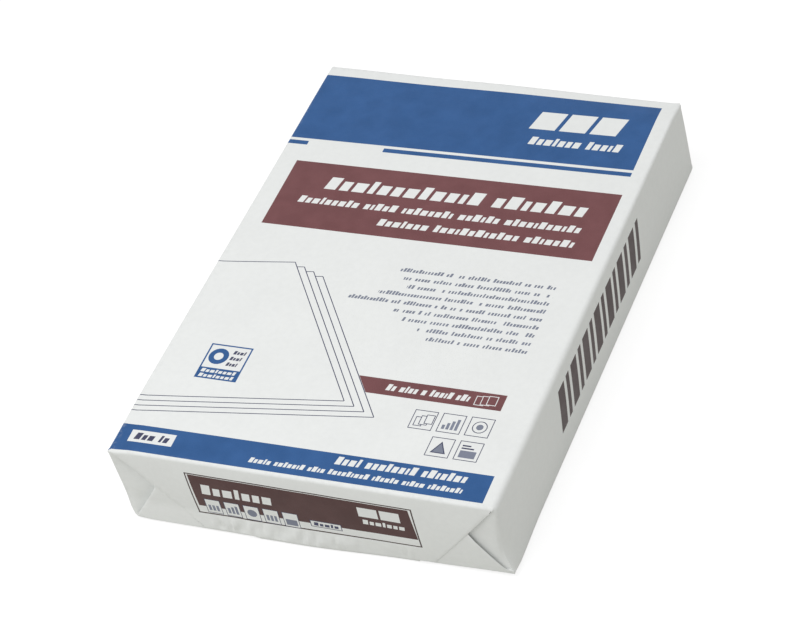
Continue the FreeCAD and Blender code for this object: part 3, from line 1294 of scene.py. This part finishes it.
def add_finish(name, groups, paper, ink=None, mask=None, roughness=PAPER_ROUGHNESS):
    """Paper, or ink on paper. A mask limits the ink to where the mask is 1."""
    finish = bpy.data.materials.new(name)
    finish.use_nodes = True
    tree = finish.node_tree
    place = tree.nodes.new("ShaderNodeTexCoord").outputs["Object"]

    def given(title):
        return add_node(tree, "ShaderNodeGroup", {"Place": place}, node_tree=groups[title]).outputs

    grain = given("paper_grain")
    rub = given("fold_rub")["Rub"]
    cloud = spread(tree, grain["Cloud"], *CLOUDS)
    colour = mixed(tree, cloud, shade(paper, 0.972), shade(paper, 1.012))
    if ink is None:
        colour = mixed(tree, work_out(tree, "MULTIPLY", rub, 0.5), colour, shade(paper, 0.9))
    else:
        density = spread(tree, given("ink_lay")["Density"], *CLOUDS)
        inked = mixed(tree, density, shade(ink, 0.93), shade(ink, 1.1, 0.006))
        share = work_out(tree, "SUBTRACT", 1, ("MULTIPLY", rub, RUBBED))
        if mask:
            share = work_out(tree, "MULTIPLY", share, given(mask)["Mask"])
        colour = mixed(tree, share, colour, inked)
    rough = spread(tree, grain["Cloud"], 0.3, 0.7, roughness - 0.06, roughness + 0.06)
    bump = add_node(tree, "ShaderNodeBump", {
        "Strength": 0.5, "Distance": 0.22 * MM, "Height": grain["Relief"]})
    set_inputs(tree, tree.nodes["Principled BSDF"], {
        "Base Color": colour, "Roughness": work_out(tree, "ADD", rough, ("MULTIPLY", rub, RUBBED)),
        "Specular IOR Level": GLOSS, "Normal": bump.outputs["Normal"]})
    return finish


class REAM_OT_finishes(bpy.types.Operator):
    """Give the wrapper its paper and inks"""

    bl_idname = "ream.finishes"
    bl_label = "Paper and Inks"

    def execute(self, context):
        colours = context.scene.ream_colours
        builders = (paper_grain, fold_rub, ink_lay, small_blocks)
        groups = {build.__name__: add_group(build) for build in builders}
        finishes = [add_finish("paper", groups, colours.paper)]
        for name, ink, mask in (
                ("blue_ink", colours.blue, None), ("maroon_ink", colours.maroon, None),
                # The label's ink is the maroon ink darkened with painted shade
                ("maroon_ink_painted_shade", colours.maroon_painted_shade, None), ("line_ink", colours.line, None),
                ("grey_ink", colours.grey, None), ("small_print", colours.grey, "small_blocks"),
                ("dark_ink", colours.dark, None)):
            finishes.append(add_finish(name, groups, colours.paper, ink, mask, INK_ROUGHNESS))
        for finish in finishes:
            wrapper().data.materials.append(finish)
        return {"FINISHED"}


# Stage

def add_camera(stage):
    aim = Vector((-3.5, -13.3, 25.3)) * MM
    level = math.cos(stage.elevation)
    away = Vector((
        math.sin(stage.azimuth) * level, -math.cos(stage.azimuth) * level, math.sin(stage.elevation)))
    bpy.ops.object.camera_add(location=aim + away * stage.distance)
    camera = bpy.context.object
    view = (-away).to_track_quat("-Z", "Y").to_matrix() @ Matrix.Rotation(stage.roll, 3, "Z")
    camera.rotation_euler = view.to_euler()
    camera.data.lens = stage.lens
    camera.data.sensor_width = 36
    camera.data.clip_end = 20
    bpy.context.scene.camera = camera


def seen_directly(tree):
    """1 for what the camera sees, also in a gloss or through glass, and 0 for light."""
    path = tree.nodes.new("ShaderNodeLightPath").outputs
    seen = work_out(tree, "MAXIMUM", path["Is Camera Ray"], path["Is Glossy Ray"])
    return work_out(tree, "MAXIMUM", seen, path["Is Transmission Ray"])


def show_directly(tree, light, seen):
    """One shader for the light and another one for what is seen."""
    return add_node(tree, "ShaderNodeMixShader", {
        "Fac": seen_directly(tree), 1: light.outputs[0], 2: seen.outputs[0]}).outputs[0]


def add_floor():
    """A floor that takes shadows and looks white."""
    bpy.ops.mesh.primitive_plane_add(size=8, location=(0, 0, -0.2 * MM))
    floor = bpy.context.object
    floor.name = "floor"
    finish = bpy.data.materials.new("studio_floor")
    finish.use_nodes = True
    tree = finish.node_tree
    tree.nodes.clear()
    light = add_node(tree, "ShaderNodeBsdfDiffuse", {"Color": (0.6, 0.6, 0.55, 1)})
    glow = add_node(tree, "ShaderNodeEmission", {"Strength": 0.8})
    pale = add_node(tree, "ShaderNodeBsdfDiffuse", {"Color": (0.3, 0.3, 0.3, 1)})
    seen = add_node(tree, "ShaderNodeAddShader", {0: glow.outputs[0], 1: pale.outputs[0]})
    add_node(tree, "ShaderNodeOutputMaterial", {"Surface": show_directly(tree, light, seen)})
    floor.data.materials.append(finish)


def add_sky(stage):
    """Even light from all round, seen as white."""
    world = bpy.data.worlds.new("studio")
    bpy.context.scene.world = world
    world.use_nodes = True
    tree = world.node_tree
    white = (1, 1, 1, 1)
    light = set_inputs(tree, tree.nodes["Background"], {"Color": white, "Strength": stage.sky})
    seen = add_node(tree, "ShaderNodeBackground", {"Color": white, "Strength": 1})
    set_inputs(tree, tree.nodes["World Output"], {"Surface": show_directly(tree, light, seen)})


def add_key(stage):
    place = Vector((-0.3, -0.53, 1.35))
    bpy.ops.object.light_add(type="AREA", location=place)
    key = bpy.context.object
    key.rotation_euler = (-place).to_track_quat("-Z", "Y").to_euler()
    key.data.energy = stage.key_energy
    key.data.size = 0.9


class REAM_OT_stage(bpy.types.Operator):
    """Set the floor, the light and the camera"""

    bl_idname = "ream.stage"
    bl_label = "Studio"

    def execute(self, context):
        stage = context.scene.ream_stage
        bpy.ops.object.select_all(action="DESELECT")
        add_floor()
        add_sky(stage)
        add_key(stage)
        add_camera(stage)
        context.scene.view_settings.view_transform = "Standard"
        return {"FINISHED"}


STEPS = (
    REAM_OT_wrapper, REAM_OT_end_folds, REAM_OT_lap_seam, REAM_OT_top_print, REAM_OT_end_label,
    REAM_OT_side_stripes, REAM_OT_settle, REAM_OT_finishes, REAM_OT_stage,
)


class REAM_PT_panel(bpy.types.Panel):
    """Steps of the ream, in the order they are made."""

    bl_label = "Wrapped Ream"
    bl_space_type = "VIEW_3D"
    bl_region_type = "UI"
    bl_category = "Ream"

    def draw(self, context):
        layout = self.layout
        for step in STEPS:
            layout.operator(step.bl_idname)


CLASSES = (ReamSizes, ReamColours, ReamStage, *STEPS, REAM_PT_panel)


def register():
    for item in CLASSES:
        bpy.utils.register_class(item)
    bpy.types.Scene.ream_sizes = PointerProperty(type=ReamSizes)
    bpy.types.Scene.ream_colours = PointerProperty(type=ReamColours)
    bpy.types.Scene.ream_stage = PointerProperty(type=ReamStage)


def unregister():
    del bpy.types.Scene.ream_stage
    del bpy.types.Scene.ream_colours
    del bpy.types.Scene.ream_sizes
    for item in reversed(CLASSES):
        bpy.utils.unregister_class(item)


def main():
    register()
    bpy.ops.ream.wrapper()
    bpy.ops.ream.end_folds()
    bpy.ops.ream.lap_seam()
    bpy.ops.ream.top_print()
    bpy.ops.ream.end_label()
    bpy.ops.ream.side_stripes()
    bpy.ops.ream.settle()
    bpy.ops.ream.finishes()
    bpy.ops.ream.stage()


if __name__ == "__main__":
    main()
